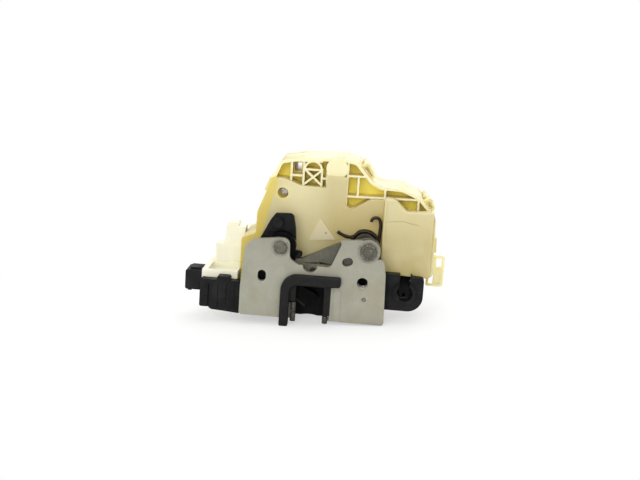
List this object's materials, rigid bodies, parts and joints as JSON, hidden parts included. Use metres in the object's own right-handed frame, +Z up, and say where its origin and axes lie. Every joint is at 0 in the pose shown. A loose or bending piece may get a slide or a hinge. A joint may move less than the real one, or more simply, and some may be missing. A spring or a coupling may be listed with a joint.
{
  "type": "car door latch actuator",
  "caption": "Side-door latch with steel plate, rubber-lined striker mouth, claw and pawl in a black case, and a cream ribbed actuator housing with motor lock drive and plug socket.",
  "frame": {"origin": "axis of the latched striker at the front face of the latch plate", "axes": "-Y out of the door's end face, +Y into the door, +Z up with the mouth opening towards -Z, +X to the side that carries the fixing thread"},
  "size_m": [0.1545, 0.0643, 0.0974],
  "materials": {
    "steel_plate": "dull zinc plating, worn",
    "rivet_steel": "satin",
    "claw_steel": "satin",
    "screw_steel": "satin",
    "worm_steel": "satin",
    "motor_can": "bright zinc",
    "spring_wire": "dark oiled",
    "black_bumper": "matt",
    "black_sleeve": "matt",
    "black_lever": "matt",
    "black_case": "matt",
    "black_socket": "matt",
    "grey_spool": "matt",
    "cream_nylon": "translucent natural nylon",
    "wheel_plastic": "matt",
    "switch_plunger": "matt",
    "seal_rubber": "matt",
    "contact_brass": "tinned"
  },
  "bodies": {
    "latch_body": {"latch_plate": "steel_plate", "mouth_bumper": "black_bumper", "claw_rivet": "rivet_steel", "pawl_rivet": "rivet_steel", "latch_case": "black_case", "back_plate": "steel_plate", "weld_nut": "rivet_steel", "spring_spool": "grey_spool", "pawl_spring": "spring_wire", "claw_spring": "spring_wire", "actuator_case": "cream_nylon", "case_seal": "seal_rubber", "actuator_cover": "cream_nylon", "case_screws": "screw_steel", "linkage_cover": "cream_nylon", "cable_bracket": "black_case", "lever_pin": "rivet_steel", "connector_block": "cream_nylon", "plug_socket": "black_socket", "connector_pins": "contact_brass", "wheel_axle": "rivet_steel", "lock_motor": "motor_can", "slider_guide": "cream_nylon", "claw_switch": "black_socket", "lock_switch": "black_socket", "contact_strips": "contact_brass"},
    "claw_body": {"claw": "claw_steel", "claw_sleeve": "black_sleeve"},
    "pawl_body": {"pawl": "claw_steel"},
    "outer_lever_body": {"outer_release_lever": "black_lever"},
    "inner_lever_body": {"inner_release_lever": "black_lever"},
    "link_body": {"release_link": "black_lever"},
    "wheel_body": {"lock_wheel": "wheel_plastic"},
    "worm_body": {"motor_worm": "worm_steel"},
    "slider_body": {"lock_slider": "black_lever"},
    "claw_plunger_body": {"claw_switch_plunger": "switch_plunger"},
    "lock_plunger_body": {"lock_switch_plunger": "switch_plunger"}
  },
  "joints": [
    {"name": "claw_turn", "type": "hinge", "parent": "latch_body", "child": "claw_body", "pos_m": [-0.0188, 0, 0.0277], "axis": [0, -1, 0], "range_deg": [0, 27], "stiffness_Nm_per_rad": 0.02, "springref_deg": -17.19, "deforming": ["claw_spring"]},
    {"name": "pawl_turn", "type": "hinge", "parent": "latch_body", "child": "pawl_body", "pos_m": [0.0323, 0, 0.029], "axis": [0, -1, 0], "range_deg": [-5, 2.5], "stiffness_Nm_per_rad": 0.05, "deforming": ["pawl_spring"]},
    {"name": "outer_lever_turn", "type": "hinge", "parent": "latch_body", "child": "outer_lever_body", "pos_m": [-0.0188, 0, 0.0277], "axis": [0, -1, 0], "range_deg": [-8.75, 17.5]},
    {"name": "inner_lever_pull", "type": "hinge", "parent": "latch_body", "child": "inner_lever_body", "pos_m": [0.0552, 0.031, 0.0076], "axis": [-1, 0, 0], "range_deg": [0, 25], "stiffness_Nm_per_rad": 0.01, "springref_deg": -11.46},
    {"name": "link_turn", "type": "hinge", "parent": "latch_body", "child": "link_body", "pos_m": [0.055, 0.019, 0.031], "axis": [0, -1, 0], "range_deg": [0, 14], "stiffness_Nm_per_rad": 0.01, "springref_deg": -11.46},
    {"name": "wheel_turn", "type": "hinge", "parent": "latch_body", "child": "wheel_body", "pos_m": [0.0223, 0, 0.0402], "axis": [0, -1, 0], "range_deg": [-30, 65]},
    {"name": "worm_spin", "type": "hinge", "parent": "latch_body", "child": "worm_body", "pos_m": [0, 0.0445, 0.0577], "axis": [1, 0, 0], "continuous": true},
    {"name": "slider_travel", "type": "slide", "parent": "latch_body", "child": "slider_body", "axis": [1, 0, 0], "range_m": [-0.0032, 0.0069]},
    {"name": "claw_plunger_press", "type": "slide", "parent": "latch_body", "child": "claw_plunger_body", "axis": [-1, 0, 0], "range_m": [0, 0.001], "stiffness_N_per_m": 80},
    {"name": "lock_plunger_press", "type": "slide", "parent": "latch_body", "child": "lock_plunger_body", "axis": [-1, 0, 0], "range_m": [0, 0.001], "stiffness_N_per_m": 80}
  ],
  "couplings": [
    {"joint": "outer_lever_turn", "follows": "pawl_turn", "ratio": -3.5},
    {"joint": "worm_spin", "follows": "wheel_turn", "ratio": 28},
    {"joint": "slider_travel", "follows": "wheel_turn", "m_per_rad": 0.006}
  ]
}
